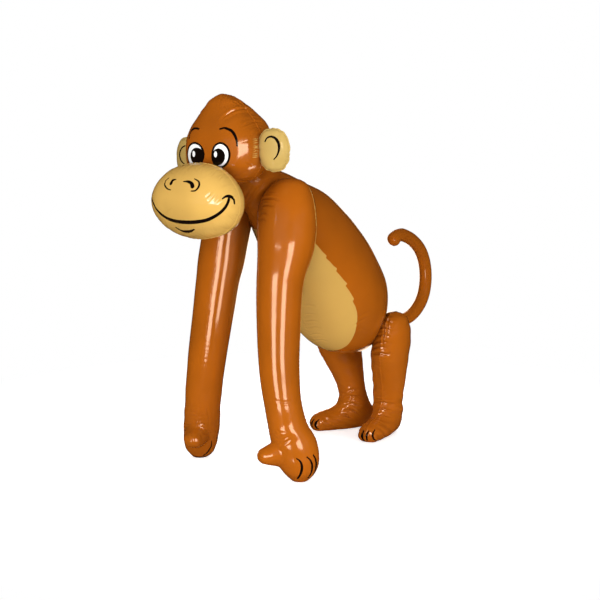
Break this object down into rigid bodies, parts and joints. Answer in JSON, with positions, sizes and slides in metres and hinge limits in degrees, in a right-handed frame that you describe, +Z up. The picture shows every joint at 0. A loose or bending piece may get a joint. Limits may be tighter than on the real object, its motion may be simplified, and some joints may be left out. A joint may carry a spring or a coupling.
{
  "type": "inflatable monkey figure",
  "caption": "Glossy inflatable monkey on all fours, long straight arms, round tan muzzle and ears, pear-shaped body and curled tail.",
  "frame": {"origin": "centre of the bounding box on the floor that the hands and feet stand on", "axes": "+Z up, the monkey faces -Y, +X is towards its left hand"},
  "size_m": [0.2711, 0.6734, 0.6028],
  "materials": {
    "fur_vinyl": "glossy orange-brown printed vinyl film",
    "tan_vinyl": "glossy tan printed vinyl film"
  },
  "bodies": {
    "root": {"torso": "fur_vinyl", "head": "fur_vinyl", "arm_left": "fur_vinyl", "arm_right": "fur_vinyl", "leg_left": "fur_vinyl", "leg_right": "fur_vinyl", "tail": "fur_vinyl", "muzzle": "tan_vinyl", "ear_left": "tan_vinyl", "ear_right": "tan_vinyl"}
  },
  "joints": []
}
